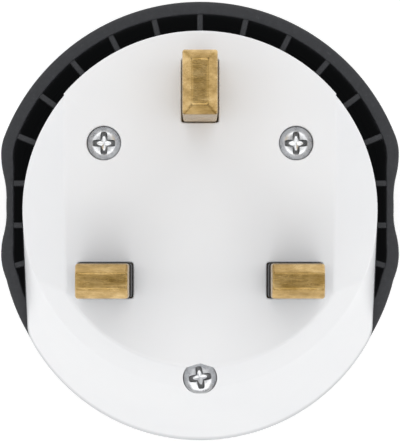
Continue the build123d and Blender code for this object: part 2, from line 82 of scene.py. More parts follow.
housingLow, housingHigh = nodeBox("socket_housing")
baseLow, baseHigh = nodeBox("plug_base")
baseRise = 16  # height of the white base above the housing's front
seamLevel = baseHigh[2] - baseRise

outline = {
    "skirtRadius": 23.4, "cornerDrop": 14.9,
    "lobeRadius": 6.0, "waistInset": 0.65, "waistTop": 1.7, "waistBottom": -0.3,
    "lowerGripY": -5.2, "slantY": -8.3,
    "baseRadius": 21.5, "sideLineY": -1.6, "filletRadius": 5.0,
}
# The housing's outline: round top, rounded shoulders, waist, grip, slant and round skirt
ringRadius, gripHalf = housingHigh[1], housingHigh[0]
waistHalf = gripHalf - outline["waistInset"]
skirtCentre = np.array((0, housingLow[1] + outline["skirtRadius"]))
cornerY = -outline["cornerDrop"]
cornerX = math.sqrt(outline["skirtRadius"]**2 - (cornerY - skirtCentre[1])**2)
cornerAngle = math.degrees(math.atan2(cornerY - skirtCentre[1], cornerX))
lobeX = gripHalf - outline["lobeRadius"]
lobeY = math.sqrt((ringRadius - outline["lobeRadius"])**2 - lobeX**2)
lobeAngle = math.degrees(math.atan2(lobeY, lobeX))
slantU = np.linspace(0, 1, 12)[1:]
housingPoints = np.vstack((
    arcPoints((0, 0), ringRadius, 90, lobeAngle, 90),
    arcPoints((lobeX, lobeY), outline["lobeRadius"], lobeAngle, 0, 14),
    easedSide(gripHalf, waistHalf, lobeY, outline["waistTop"], 20)[1:],
    easedSide(waistHalf, gripHalf, outline["waistBottom"], outline["lowerGripY"], 20),
    np.column_stack((gripHalf + (waistHalf - gripHalf) * slantU**2,
                     outline["lowerGripY"] + (outline["slantY"] - outline["lowerGripY"]) * slantU)),
    arcPoints(skirtCentre, outline["skirtRadius"], cornerAngle, -90, 80),
))


def filletBelow(lineStart, lineEnd, arcCentre, arcRadius, radius):
    # Circle that touches a line from inside and an arc from inside: its centre lies on the line
    # moved in by the radius, at (arcRadius - radius) from the arc's centre
    along = (lineEnd - lineStart) / np.linalg.norm(lineEnd - lineStart)
    inward = np.array((along[1], -along[0]))
    start = lineStart + inward * radius - arcCentre
    half = start @ along
    reach = -half + math.sqrt(half**2 - start @ start + (arcRadius - radius)**2)
    centre = lineStart + inward * radius + along * reach
    onArc = arcCentre + (centre - arcCentre) * arcRadius / (arcRadius - radius)
    return centre, centre - inward * radius, onArc


def angleAbout(centre, point):
    return math.degrees(math.atan2(point[1] - centre[1], point[0] - centre[0]))


# The base's outline: round top, straight sides that run into the skirt by a fillet
sideStart = np.array((math.sqrt(outline["baseRadius"]**2 - outline["sideLineY"]**2), outline["sideLineY"]))
filletCentre, filletTop, filletEnd = filletBelow(
    sideStart, np.array((cornerX, cornerY)), skirtCentre, outline["skirtRadius"], outline["filletRadius"])
sideU = np.linspace(0, 1, 60)[1:, None]
basePoints = np.vstack((
    arcPoints((0, 0), outline["baseRadius"], 90, angleAbout((0, 0), sideStart), 100),
    (1 - sideU) * sideStart + sideU * filletTop,
    arcPoints(filletCentre, outline["filletRadius"],
              angleAbout(filletCentre, filletTop), angleAbout(filletCentre, filletEnd), 12)[1:],
    arcPoints(skirtCentre, outline["skirtRadius"], angleAbout(skirtCentre, filletEnd), -90, 80)[1:],
))
housingRadius = outlineRadius(housingPoints)
baseRadius = outlineRadius(basePoints)
baseTurns = [angleAbout((0, 0), p) for p in (sideStart, filletTop, filletEnd)]
housingTurns = [angleAbout((0, 0), p) for p in (
    (lobeX, lobeY), (gripHalf, lobeY),
    (waistHalf, outline["waistTop"]), (waistHalf, outline["waistBottom"]),
    (gripHalf, outline["lowerGripY"]), (waistHalf, outline["slantY"]), (cornerX, cornerY))]


def angleColumns(count, extraDeg):
    # Even steps round the axis, with a column at each angle where an outline or a crease turns,
    # and without the even columns that are less than a quarter step from one of those
    even = np.linspace(-math.pi, math.pi, count, endpoint=False)
    quarterStep = math.pi / (2 * count)
    extra = np.radians(np.array([v for d in extraDeg for v in (d, 180 - d)]))
    extra = (extra + math.pi) % (2 * math.pi) - math.pi
    near = np.abs(even[:, None] - extra[None, :]).min(axis=1) < quarterStep
    return np.unique(np.concatenate((even[~near], extra)).round(9))


def roundedProfile(corners, roundings, steps=4):
    # Each corner V becomes (1-s)^2 A + 2s(1-s) V + s^2 B, with A and B on its two legs
    legShare, shortest = 0.45, 1e-9  # most of a leg that a rounding takes, and the least length
    rows = []
    last = len(corners) - 1
    for k, corner in enumerate(corners):
        if k in (0, last) or roundings[k] == 0:
            rows.append(corner)
            continue
        before, after = corners[k - 1] - corner, corners[k + 1] - corner
        legA = np.linalg.norm(before, axis=0)
        legB = np.linalg.norm(after, axis=0)
        pointA = corner + before * np.minimum(roundings[k] / np.maximum(legA, shortest), legShare)
        pointB = corner + after * np.minimum(roundings[k] / np.maximum(legB, shortest), legShare)
        for s in np.linspace(0, 1, steps + 1):
            rows.append((1 - s)**2 * pointA + 2 * s * (1 - s) * corner + s**2 * pointB)
    return rows


def ringFaces(rowCount, columnCount, firstIndex=0):
    # Quads between closed rows, by index arithmetic
    i = np.arange(rowCount - 1)[:, None] * columnCount
    j = np.arange(columnCount)[None, :]
    n = (j + 1) % columnCount
    quads = np.stack((i + j, i + n, i + columnCount + n, i + columnCount + j), axis=-1)
    return (quads.reshape(-1, 4) + firstIndex).tolist()


def surfacePiece(name, points, faces, smoothDeg=32):
    # Millimetre points and their faces as an object at the origin
    mesh = bpy.data.meshes.new(name)
    mesh.from_pydata((np.asarray(points) * mm).tolist(), [], faces)
    mesh.validate()
    piece = bpy.data.objects.new(name, mesh)
    bpy.context.collection.objects.link(piece)
    shadeByAngle(mesh, smoothDeg)
    return piece


def shadeByAngle(mesh, smoothDeg):
    # Smooth, except across edges that turn by more than the angle
    mesh.polygons.foreach_set("use_smooth", np.ones(len(mesh.polygons), dtype=bool))
    mesh.set_sharp_from_angle(angle=math.radians(smoothDeg))
    mesh.update()


def turnedRows(rows, theta):
    # (r, z) rows over all angles -> points (r cos a, r sin a, z)
    return np.vstack([np.column_stack((r * np.cos(theta), r * np.sin(theta), z)) for r, z in rows])


def closedTurn(rows, theta):
    # Surface of rows from one pole on the axis to the other, closed by a fan at each pole
    columns = len(theta)
    body = rows[1:-1]
    points = turnedRows(body, theta)
    faces = ringFaces(len(body), columns)
    first, last = len(points), len(points) + 1
    poles = np.array([[0, 0, rows[0][1][0]], [0, 0, rows[-1][1][0]]])
    top = (len(body) - 1) * columns
    j = np.arange(columns)
    n = (j + 1) % columns
    faces += np.column_stack((n, j, np.full(columns, first))).tolist()
    faces += np.column_stack((top + j, top + n, np.full(columns, last))).tolist()
    return np.vstack((points, poles)), faces


def facingOut(piece, merge=1e-7):
    # Closes seams, drops empty faces and turns the rest outwards
    work = bmesh.new()
    work.from_mesh(piece.data)
    bmesh.ops.remove_doubles(work, verts=work.verts, dist=merge)
    bmesh.ops.dissolve_degenerate(work, edges=work.edges, dist=merge)
    bmesh.ops.recalc_face_normals(work, faces=work.faces)
    work.to_mesh(piece.data)
    work.free()


def cutFrom(piece, cutters, smoothDeg=32):
    # Takes each cutter's space out of the piece and leaves only the result
    for cutter in cutters:
        facingOut(cutter)
        cut = piece.modifiers.new("cut", "BOOLEAN")
        cut.operation = "DIFFERENCE"
        cut.solver = "EXACT"
        cut.object = cutter
        bpy.context.view_layer.update()
        evaluated = piece.evaluated_get(bpy.context.evaluated_depsgraph_get())
        result = bpy.data.meshes.new_from_object(evaluated)
        piece.modifiers.clear()
        piece.data = result
        bpy.data.objects.remove(cutter)
    shadeByAngle(piece.data, smoothDeg)


def joinSurfaces(parts):
    # Several point and face lists as one
    points, faces, start = [], [], 0
    for partPoints, partFaces in parts:
        points.append(np.asarray(partPoints))
        faces += [[v + start for v in face] for face in partFaces]
        start += len(partPoints)
    return np.vstack(points), faces


def rectangleRing(halfX, halfY, corner, cornerSteps=5):
    # Rounded rectangle: corner centre + corner * (cos a, sin a), a quarter turn at each corner
    leastSide = 1e-3
    corner = min(corner, halfX - leastSide, halfY - leastSide)
    ring = []
    for k, (sx, sy) in enumerate(((1, 1), (-1, 1), (-1, -1), (1, -1))):
        turn = np.radians(np.linspace(90 * k, 90 * k + 90, cornerSteps + 1))
        ring.append(np.column_stack((sx * (halfX - corner) + corner * np.cos(turn),
                                     sy * (halfY - corner) + corner * np.sin(turn))))
    return np.vstack(ring)


def sweptRectangle(centre, levels, corner):
    # Rounded rectangles of half sizes (hx, hy) about the centre at each level z, joined and capped
    rings = []
    for hx, hy, z in levels:
        ring = rectangleRing(hx, hy, corner)
        rings.append(np.column_stack((ring, np.full(len(ring), z))))
    count = len(rings[0])
    points = np.vstack(rings)
    points[:, :2] += centre
    faces = ringFaces(len(rings), count)
    faces.append(list(range(count))[::-1])
    faces.append(list(range((len(rings) - 1) * count, len(rings) * count)))
    return points, faces


def roundColumn(centre, profile, segments=64):
    # Profile of (r, z) pairs turned about an upright axis at the centre
    theta = np.linspace(0, 2 * math.pi, segments, endpoint=False)
    rows = [np.array([np.full(segments, r), np.full(segments, z)]) for r, z in profile]
    points, faces = closedTurn(rows, theta)
    points[:, :2] += centre
    return points, faces


# Colours are linear, and a noise scale counts its features in a metre
def newMaterial(name, colour, roughness, metallic=0.0):
    material = bpy.data.materials.new(name)
    material.use_nodes = True
    shader = material.node_tree.nodes["Principled BSDF"]
    shader.inputs["Base Color"].default_value = (*colour, 1)
    shader.inputs["Roughness"].default_value = roughness
    shader.inputs["Metallic"].default_value = metallic
    return material, material.node_tree, shader


def noiseNode(tree, scale, detail=4.0, roughness=0.6, stretch=(1, 1, 1)):
    # Noise on the piece's own Object coordinates
    coordinates = tree.nodes.new("ShaderNodeTexCoord")
    mapping = tree.nodes.new("ShaderNodeMapping")
    mapping.inputs["Scale"].default_value = stretch
    noise = tree.nodes.new("ShaderNodeTexNoise")
    noise.inputs["Scale"].default_value = scale
    noise.inputs["Detail"].default_value = detail
    noise.inputs["Roughness"].default_value = roughness
    tree.links.new(coordinates.outputs["Object"], mapping.inputs["Vector"])
    tree.links.new(mapping.outputs["Vector"], noise.inputs["Vector"])
    return noise.outputs["Fac"]


def addRamp(tree, source, stops, target):
    # Colours between (place, colour) stops
    ramp = tree.nodes.new("ShaderNodeValToRGB")
    elements = ramp.color_ramp.elements
    elements[0].position, elements[1].position = stops[0][0], stops[-1][0]
    elements[0].color, elements[1].color = (*stops[0][1], 1), (*stops[-1][1], 1)
    for place, colour in stops[1:-1]:
        elements.new(place).color = (*colour, 1)
    tree.links.new(source, ramp.inputs["Fac"])
    tree.links.new(ramp.outputs["Color"], target)


def addRange(tree, source, low, high, target):
    # Spreads a source from 0 to 1 over the range from low to high
    spread = tree.nodes.new("ShaderNodeMapRange")
    spread.inputs["To Min"].default_value = low
    spread.inputs["To Max"].default_value = high
    tree.links.new(source, spread.inputs["Value"])
    tree.links.new(spread.outputs["Result"], target)


def addBump(tree, shader, source, strength, distance):
    bump = tree.nodes.new("ShaderNodeBump")
    bump.inputs["Strength"].default_value = strength
    bump.inputs["Distance"].default_value = distance
    tree.links.new(source, bump.inputs["Height"])
    tree.links.new(bump.outputs["Normal"], shader.inputs["Normal"])


def multiplyColours(tree, shader):
    # Colours the shader with the product of two inputs, which are returned
    product = tree.nodes.new("ShaderNodeMix")
    product.data_type, product.blend_type = "RGBA", "MULTIPLY"
    product.inputs["Factor"].default_value = 1
    first, second, result = product.inputs[6], product.inputs[7], product.outputs[2]
    tree.links.new(result, shader.inputs["Base Color"])
    return first, second


whiteLook = {
    "plain": (0.84, 0.845, 0.86), "clouds": ((0.80, 0.805, 0.82), (0.83, 0.835, 0.845)),
    # Painted shade on the foot's rounded edge: its grey, and the heights above the seam over which it fades
    # out
    "footShadeColour": (0.60, 0.61, 0.62), "footShadeHeights": (1.1, 1.9),  # heights above the seam
    "roughness": 0.34, "cloudScale": 55, "grainScale": 2600,
}


def satinWhite():
    # White moulding: two near whites in broad clouds, a very fine grain, and painted shade on the foot's
    # rounded edge
    look = whiteLook
    material, tree, shader = newMaterial("satinWhitePlastic", look["plain"], look["roughness"])
    cloudColour, footShadeSlot = multiplyColours(tree, shader)
    broad = noiseNode(tree, look["cloudScale"], 3)
    addRamp(tree, broad, ((0.3, look["clouds"][0]), (0.7, look["clouds"][1])), cloudColour)
    # Painted shade: the foot's rounded edge is greyer, by a ramp over the height
    height = tree.nodes.new("ShaderNodeSeparateXYZ")
    place = tree.nodes.new("ShaderNodeTexCoord")
    tree.links.new(place.outputs["Object"], height.inputs["Vector"])
    level = tree.nodes.new("ShaderNodeMapRange")
    level.inputs["From Min"].default_value = (seamLevel + look["footShadeHeights"][0]) * mm
    level.inputs["From Max"].default_value = (seamLevel + look["footShadeHeights"][1]) * mm
    tree.links.new(height.outputs["Z"], level.inputs["Value"])
    addRamp(tree, level.outputs["Result"], ((0, look["footShadeColour"]), (1, (1, 1, 1))), footShadeSlot)
    fine = noiseNode(tree, look["grainScale"], 3)
    addBump(tree, shader, fine, 0.05, 0.00004)
    shader.inputs["Subsurface Weight"].default_value = 0.05
    shader.inputs["Subsurface Radius"].default_value = (0.0012, 0.0010, 0.0009)
    shader.inputs["Specular IOR Level"].default_value = 0.4
    return material


blackLook = {
    "plain": (0.02, 0.021, 0.024), "roughness": 0.5, "grainScale": 1500, "glow": 0.0035,
    "grain": ((0.35, (0.023, 0.024, 0.027)), (0.60, (0.031, 0.032, 0.036)), (0.72, (0.058, 0.060, 0.066))),
}


def texturedBlack():
    # Black moulding: eroded grain with sparse lighter specks, and a faint glow for the veil of light
    look = blackLook
    material, tree, shader = newMaterial("texturedBlackPlastic", look["plain"], look["roughness"])
    grain = noiseNode(tree, look["grainScale"], 6, 0.75)
    addRamp(tree, grain, look["grain"], shader.inputs["Base Color"])
    addRange(tree, grain, 0.42, 0.62, shader.inputs["Roughness"])
    addBump(tree, shader, grain, 0.3, 0.00008)
    shader.inputs["Specular IOR Level"].default_value = 0.35
    shader.inputs["Emission Color"].default_value = (0.9, 0.95, 1, 1)
    shader.inputs["Emission Strength"].default_value = look["glow"]
    return material


def brass(name, tones, roughness, scratch):
    # Brass: clouds of three tones, and fine scratches that lie along X
    material, tree, shader = newMaterial(name, tones[1], roughness, 1.0)
    cloud = noiseNode(tree, 650, 6, 0.7, (0.6, 1.5, 0.5))
    addRamp(tree, cloud, tuple(zip((0.34, 0.52, 0.68), tones)), shader.inputs["Base Color"])
    lines = noiseNode(tree, 1500, 4, 0.7, (0.25, 2.5, 1.0))
    addRange(tree, lines, roughness - 0.1, roughness + 0.14, shader.inputs["Roughness"])
    addBump(tree, shader, lines, scratch, 0.00008)
    return material


def smoothPlastic(name, colour, roughness, variation=0.15):
    # Plain moulding or ceramic whose colour and sheen drift a little
    material, tree, shader = newMaterial(name, colour, roughness)
    patches = noiseNode(tree, 300, 3)
    darker = tuple(v * (1 - variation) for v in colour)
    addRamp(tree, patches, ((0.3, darker), (0.7, colour)), shader.inputs["Base Color"])
    addRange(tree, patches, roughness - 0.05, roughness + 0.08, shader.inputs["Roughness"])
    return material


def platedMetal(name, colour, roughness):
    # Plated steel: slightly uneven sheen
    material, tree, shader = newMaterial(name, colour, roughness, 1.0)
    cloud = noiseNode(tree, 1300, 5, 0.65)
    darker = tuple(v * 0.75 for v in colour)
    addRamp(tree, cloud, ((0.3, darker), (0.7, colour)), shader.inputs["Base Color"])
    addRange(tree, cloud, roughness - 0.07, roughness + 0.12, shader.inputs["Roughness"])
    addBump(tree, shader, cloud, 0.2, 0.00006)
    return material


def screwSteel():
    # Plated steel, darker in the cross recess by the shade written to each vertex
    material, tree, shader = newMaterial("screwSteel", (0.7, 0.71, 0.73), 0.28, 1.0)
    cloudColour, shadeColour = multiplyColours(tree, shader)
    cloud = noiseNode(tree, 1300, 5, 0.65)
    addRamp(tree, cloud, ((0.3, (0.58, 0.59, 0.61)), (0.7, (0.92, 0.93, 0.94))), cloudColour)
    shade = tree.nodes.new("ShaderNodeAttribute")
    shade.attribute_name = "shade"
    tree.links.new(shade.outputs["Fac"], shadeColour)
    addRange(tree, cloud, 0.2, 0.38, shader.inputs["Roughness"])
    addBump(tree, shader, cloud, 0.3, 0.00006)
    return material


pinTones = ((0.29, 0.18, 0.05), (0.44, 0.29, 0.105), (0.60, 0.425, 0.19))
contactTones = ((0.55, 0.42, 0.2), (0.66, 0.5, 0.25), (0.74, 0.6, 0.33))
materials = {
    "base_plastic": satinWhite(),
    "housing_plastic": texturedBlack(),
    "pin_brass": brass("pinBrass", pinTones, 0.26, 0.6),
    "contact_brass": brass("contactBrass", contactTones, 0.3, 0.2),
    "sleeve_plastic": smoothPlastic("sleevePlastic", (0.012, 0.011, 0.013), 0.62),
    "carrier_plastic": smoothPlastic("carrierPlastic", (0.62, 0.6, 0.55), 0.5),
    "fuse_ceramic": smoothPlastic("fuseCeramic", (0.86, 0.85, 0.8), 0.22, 0.06),
    "fuse_cap_metal": platedMetal("fuseCapMetal", (0.72, 0.72, 0.7), 0.28),
    "screw_steel": screwSteel(),
}
print("scene: materials made")


def finishPiece(piece, slot, *nodes):
    # Gives a piece its material and puts it in the place of its CAD nodes
    piece.data.materials.clear()
    piece.data.materials.append(materials[slot])
    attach(piece, "root")
    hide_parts(*nodes)


bladeForm = {"bevels": (0.05, 1.05), "gaps": (0.12, 0.12)}  # a blade's centre and size are its sleeve's
earthForm = {"centre": (0, 13.93), "size": (3.97, 7.3), "bevels": (1.05, 1.05), "gaps": (0.2, 0.1)}


def pinFrom(name):
    # A pin's centre, size, tip level, tip bevels and the gaps round it in the face
    if name == "earth":
        form = {**earthForm, "centre": np.array(earthForm["centre"]), "size": np.array(earthForm["size"])}
    else:
        low, high = nodeBox(name + "_pin_sleeve")
        form = {**bladeForm, "centre": (low[:2] + high[:2]) / 2, "size": high[:2] - low[:2]}
    return {**form, "tip": nodeBox(name + "_pin")[1][2]}


pins = {name: pinFrom(name) for name in ("live", "neutral", "earth")}

screwHead = {"radius": 1.92, "height": 1.5, "gap": 0.1}
screwTurns = {"case_screw_left": 0, "case_screw_right": 0, "case_screw_lower": 9}


def screwFrom(node):
    # A screw's centre, shank end and the seat under its head
    low, high = nodeBox(node)
    return {"centre": (low[:2] + high[:2]) / 2, "bottom": low[2],
            "seat": high[2] - screwHead["height"], "turn": screwTurns[node]}


screws = {node: screwFrom(node) for node in screwTurns}

baseForm = {
    "bottom": seamLevel, "bandTop": seamLevel + 1, "crownLevel": 38.5, "faceLevel": baseHigh[2],
    "crownRadius": 20.96, "faceLowerRadius": 18.5,
    "faceHalfWidth": 15.85, "bevelTurn": 0.8, "bevelSlope": math.tan(math.radians(44)),
    "lipBottom": baseLow[2], "lipOuter": 2.15, "lipInner": 3.35,
    "stepAngle": 40.2, "headStep": 0.17,
    "ceiling": 39.0, "spaceRadius": 17.0, "spaceHalfWidth": 15.2, "spaceShoulder": 30.0,
    "roofDistance": 1.70, "roofTurn": 17,
    "columns": 400, "stepHalfTurn": 0.15, "bevelEnds": (-21.6, -31.6), "faceRing": 0.6,
}


def baseRows(theta):
    # Outer side: straight from the foot outline to the crown circle, then the head, all held
    # inside the flat bevels, where r * |cos(t +- turn)| <= width + (faceLevel - z) / slope
    form = baseForm
    foot = baseRadius(theta)
    side = np.where(np.cos(theta) >= 0, 1, -1)
    leastReach = 1e-3
    reach = np.maximum(np.abs(np.cos(theta + side * math.radians(form["bevelTurn"]))), leastReach)

    def flatRadius(z):
        return (form["faceHalfWidth"] + (form["faceLevel"] - z) / form["bevelSlope"]) / reach

    ones = np.ones_like(theta)
    crown = form["crownRadius"] * ones
    aboveStep = np.sin(theta) >= math.sin(math.radians(form["stepAngle"]))
    headTop = np.where(aboveStep, form["crownRadius"], form["crownRadius"] - form["headStep"])
    headTop = np.where(np.sin(theta) < 0, form["faceLowerRadius"], headTop)
    wallSlope = (crown - foot) / (form["crownLevel"] - form["bandTop"])
    headSlope = (headTop - crown) / (form["faceLevel"] - form["crownLevel"])
    flatSlope = -1 / (form["bevelSlope"] * reach)
    # Where the flat crosses the wall, and where it crosses the head
    wallZ = form["bandTop"] + (flatRadius(form["bandTop"]) - foot) / (wallSlope - flatSlope)
    headZ = form["crownLevel"] + (flatRadius(form["crownLevel"]) - crown) / (headSlope - flatSlope)
    onWall = flatRadius(form["crownLevel"]) < crown
    onHead = ~onWall & (flatRadius(form["faceLevel"]) < headTop)
    lowZ = np.where(onWall, wallZ, form["crownLevel"])
    lowR = np.where(onWall, flatRadius(wallZ), crown)
    edgeR = np.minimum(headTop, flatRadius(form["faceLevel"]))
    edgeZ = form["faceLevel"] * ones
    midZ = np.where(onHead, headZ, (lowZ + edgeZ) / 2)
    midR = np.where(onHead, flatRadius(headZ), (lowR + edgeR) / 2)

    inner = np.minimum(form["spaceRadius"] * ones, form["spaceHalfWidth"] / reach)
    lipIn, lipOut = foot - form["lipInner"], foot - form["lipOuter"]
    rows = [  # distance from the axis, height and rounding
        (0 * ones, form["ceiling"] * ones, 0),
        (inner, form["ceiling"] * ones, 0.3),
        (inner, (form["spaceShoulder"] + 1) * ones, 0.3),
        (lipIn, form["spaceShoulder"] * ones, 0.3),
        (lipIn, form["lipBottom"] * ones, 0.2),
        (lipOut, form["lipBottom"] * ones, 0.2),
        (lipOut, form["bottom"] * ones, 0),
        (foot, form["bottom"] * ones, 0.3),
        (foot, form["bandTop"] * ones, 0.7),
        (lowR, lowZ, 0.25),
        (midR, midZ, 0.5),
        (edgeR, edgeZ, 0.3),
        (edgeR * form["faceRing"], edgeZ, 0),
        (0 * ones, edgeZ, 0),
    ]
    return roundedProfile([np.array(row[:2]) for row in rows], [row[2] for row in rows])


def pinSlot(name, pin):
    # Slot for a pin, a little wider where it meets the face
    flare, soft, below = 0.1, 0.25, 0.6
    top = baseForm["faceLevel"]
    hx, hy = pin["size"] / 2 + pin["gaps"]
    levels = [(hx, hy, baseForm["ceiling"] - below), (hx, hy, top - flare),
              (hx + 2 * flare, hy + 2 * flare, top + flare)]
    return surfacePiece("cut_" + name, *sweptRectangle(pin["centre"], levels, soft))


def screwSeat(node, screw):
    # Round seat: r = R; the lower one is cut by the face like a roof, r = min(R, d / cos(t - 90 +- turn))
    form = baseForm
    flare, above, columns, leastFacing = 0.1, 2, 72, 0.1
    radius, top = screwHead["radius"] + screwHead["gap"], form["faceLevel"]
    wide = radius + 2 * flare
    profile = [(0, screw["seat"]), (radius, screw["seat"]), (radius, top - flare),
               (wide, top + flare), (wide, top + above), (0, top + above)]
    theta = np.linspace(0, 2 * math.pi, columns, endpoint=False)
    limit = np.ones(columns)
    if node == "case_screw_lower":
        for turn in (90 - form["roofTurn"], 90 + form["roofTurn"]):
            facing = np.maximum(np.cos(theta - math.radians(turn)), leastFacing)
            limit = np.minimum(limit, form["roofDistance"] / facing / radius)
    rows = [np.array([r * limit, np.full(columns, z)]) for r, z in profile]
    points, faces = closedTurn(rows, theta)
    points[:, :2] += screw["centre"]
    return surfacePiece("cut_" + node, points, faces)


def makeBase():
    # The turned surface, with the pins' slots and the screws' seats cut from it
    form = baseForm
    steps = [form["stepAngle"] + side * form["stepHalfTurn"] for side in (-1, 1)]
    theta = angleColumns(form["columns"], [*baseTurns, 0, *form["bevelEnds"], *steps, 90, -90])
    piece = surfacePiece("baseShell", *closedTurn(baseRows(theta), theta))
    facingOut(piece)
    cutters = [pinSlot(name, pin) for name, pin in pins.items()]
    cutters += [screwSeat(node, screw) for node, screw in screws.items()]
    cutFrom(piece, cutters)
    finishPiece(piece, "base_plastic", "plug_base")


makeBase()
print("scene: plug base made")

housingForm = {
    "height": seamLevel, "wall": 1.56, "rim": 2.5, "chamfer": 1.2, "recessRadius": 19.5,
    "recessDepth": 17.5, "floorTop": 20.0, "seam": 0.15, "cupWall": 2.0, "columns": 420,
    "leastWall": 0.05, "leastCell": 0.02,
    "holeY": 9.5, "holeRadius": 2.7, "holeFlare": 0.3,
    "slotHalf": 2.7, "slotDepth": 1.5, "slotStart": 2.5, "slotEnd": 21.2,
}
ribForm = {
    "step": 13.5, "besideTop": 5, "levels": (3.4, -1.7), "lower": -16.4, "middleInset": 1,
    "half": 0.36, "foot": 2.2, "top": seamLevel - 0.15, "rounding": 0.2, "sunk": 0.5,
}
guideForm = {
    "half": 2.7, "reach": 2.5, "setback": 1.0, "sunk": 0.7, "edge": 0.3, "rise": 0.35, "cap": 0.4,
}


def innerWallRadius(theta):
    # The outline less the wall's thickness; past the waist the straight line x = grip - wall,
    # which is r = (grip - wall) / |cos t|
    form = housingForm
    folded = np.degrees(np.arcsin(np.clip(np.sin(theta), -1, 1)))
    low = angleAbout((0, 0), (gripHalf, outline["lowerGripY"]))
    high = angleAbout((0, 0), (gripHalf, lobeY))
    leastReach = 0.1
    straight = (gripHalf - form["wall"]) / np.maximum(np.abs(np.cos(theta)), leastReach)
    offsetWall = housingRadius(theta) - form["wall"]
    return np.where((folded > low) & (folded < high), np.maximum(straight, offsetWall), offsetWall)


def housingRows(theta):
    # From the recess floor over the rim, up the outer wall, down into the cell and over the cup wall
    form = housingForm
    ones = np.ones_like(theta)
    outer = housingRadius(theta)
    cup = np.minimum(baseRadius(theta) + form["seam"], outer - form["leastWall"])
    inside = innerWallRadius(theta)
    hasCell = inside > cup + form["leastCell"]
    middle = (inside + cup) / 2
    cellOut = np.where(hasCell, inside, middle)
    cellIn = np.where(hasCell, cup, middle)
    cellZ = np.where(hasCell, form["rim"], form["height"] - form["leastCell"])
    top = form["height"] * ones
    cupIn = baseRadius(theta) - form["cupWall"]
    rows = [  # distance from the axis, height and rounding
        (0 * ones, form["recessDepth"] * ones, 0),
        (form["recessRadius"] * ones, form["recessDepth"] * ones, 0.4),
        (form["recessRadius"] * ones, 0 * ones, 0.5),
        (outer - form["chamfer"], 0 * ones, 0.5),
        (outer, form["chamfer"] * ones, 0.6),
        (outer, top, 0.42),
        (cellOut, top, 0.2),
        (cellOut, cellZ, 0.4),
        (cellIn, cellZ, 0.4),
        (cellIn, top, 0.15),
        (cupIn, top, 0.2),
        (cupIn, form["floorTop"] * ones, 0.3),
        (0 * ones, form["floorTop"] * ones, 0),
    ]
    return roundedProfile([np.array(row[:2]) for row in rows], [row[2] for row in rows])


def ribBetween(start, end):
    # Upright web: its cross-section (t, z), with the top corners rounded by quarter circles,
    # carried along the straight line from start to end
    half, top, soft = ribForm["half"], ribForm["top"], ribForm["rounding"]
    turn = np.radians(np.linspace(0, 90, 7))
    rounded = np.column_stack((half - soft + soft * np.cos(turn), top - soft + soft * np.sin(turn)))
    right = np.vstack(((half, ribForm["foot"]), rounded))
    section = np.vstack((right, right[::-1] * (-1, 1)))
    along = (end - start) / np.linalg.norm(end - start)
    across = np.array([-along[1], along[0]])
    rings = [np.column_stack((place + section[:, :1] * across, section[:, 1])) for place in (start, end)]
    count = len(section)
    faces = ringFaces(2, count)
    faces.append(list(range(count))[::-1])
    faces.append(list(range(count, 2 * count)))
    return np.vstack(rings), faces


def ribEnds(angle, side, level=None):
    # Points just inside the two walls, on the ray at this angle or on the level line
    theta = math.radians(angle)
    inner = float(baseRadius(theta)) + housingForm["seam"] - ribForm["sunk"]
    outer = float(innerWallRadius(np.array([theta]))[0]) + ribForm["sunk"]
    if level is None:
        ray = np.array((math.cos(theta), math.sin(theta)))
        return inner * ray, outer * ray
    return [np.array((side * reach * math.cos(theta), level)) for reach in (inner, outer)]


def makeHousing():
    # The turned surface, with the pin holes and the slots for the earth springs cut from it
    form = housingForm
    theta = angleColumns(form["columns"], [*baseTurns, *housingTurns, 90, -90])
    piece = surfacePiece("housingShell", *closedTurn(housingRows(theta), theta))
    facingOut(piece)
    cutters = []
    past, third = 1, form["holeFlare"] / 3
    r, wide = form["holeRadius"], form["holeRadius"] + form["holeFlare"]
    low, high = form["recessDepth"], form["floorTop"] + past
    profile = [(0, low - past), (wide, low - past), (wide, low - third),
               (r, low + 2 * third), (r, high), (0, high)]
    for y in (form["holeY"], -form["holeY"]):
        cutters.append(surfacePiece("cut_hole", *roundColumn((0, y), profile)))
    levels = [(form["slotDepth"], form["slotHalf"], z) for z in (form["slotStart"], form["slotEnd"])]
    for x in (-form["recessRadius"], form["recessRadius"]):
        cutters.append(surfacePiece("cut_slot", *sweptRectangle((x, 0), levels, 0.2)))
    cutFrom(piece, cutters)
    finishPiece(piece, "housing_plastic", "socket_housing")


def makeRibs():
    # Ribs on rays beside the top and low down, and level ones at the waist
    form = ribForm
    angles = [90 + form["step"] * k for k in range(-form["besideTop"], form["besideTop"] + 1)]
    angles += [form["lower"], 180 - form["lower"]]
    ribs = [ribBetween(*ribEnds(angle, 1)) for angle in angles]
    for level in form["levels"]:
        angle = math.degrees(math.atan2(level, waistHalf - form["middleInset"]))
        ribs += [ribBetween(*ribEnds(angle, side, level)) for side in (-1, 1)]
    piece = surfacePiece("housingRibs", *joinSurfaces(ribs))
    facingOut(piece)
    finishPiece(piece, "housing_plastic", "socket_housing")


def makeGuides():
    # Two blocks on the recess wall: rounded rectangles that shrink towards the rim
    form = guideForm
    half, edge, cap = form["half"], form["edge"], form["cap"]
    halfY = (form["reach"] + form["sunk"]) / 2
    middleY = housingForm["recessRadius"] + form["sunk"] - halfY
    low, high = form["setback"], housingForm["recessDepth"] + form["sunk"]
    levels = [(half * cap, halfY * cap, low), (half - edge, halfY - edge, low),
              (half, halfY, low + form["rise"]), (half, halfY, high)]
    guides = [sweptRectangle((0, side * middleY), levels, edge) for side in (-1, 1)]
    piece = surfacePiece("recessGuides", *joinSurfaces(guides))
    facingOut(piece)
    finishPiece(piece, "housing_plastic", "socket_housing")


makeHousing()
makeRibs()
makeGuides()
print("scene: housing made")

pinForm = {
    "tipHeight": 1.7, "innerFace": 39.0, "neckTop": 51.5, "sleeveWall": 0.5, "sleevePlay": 0.02,
    "footMargins": (0.4, 0.5), "footBottom": 36.6, "footTop": 38.9, "slimmer": 0.17,
    "edge": 0.3, "tipEdge": 0.26, "tipRing": 0.3, "corner": 0.3,
}


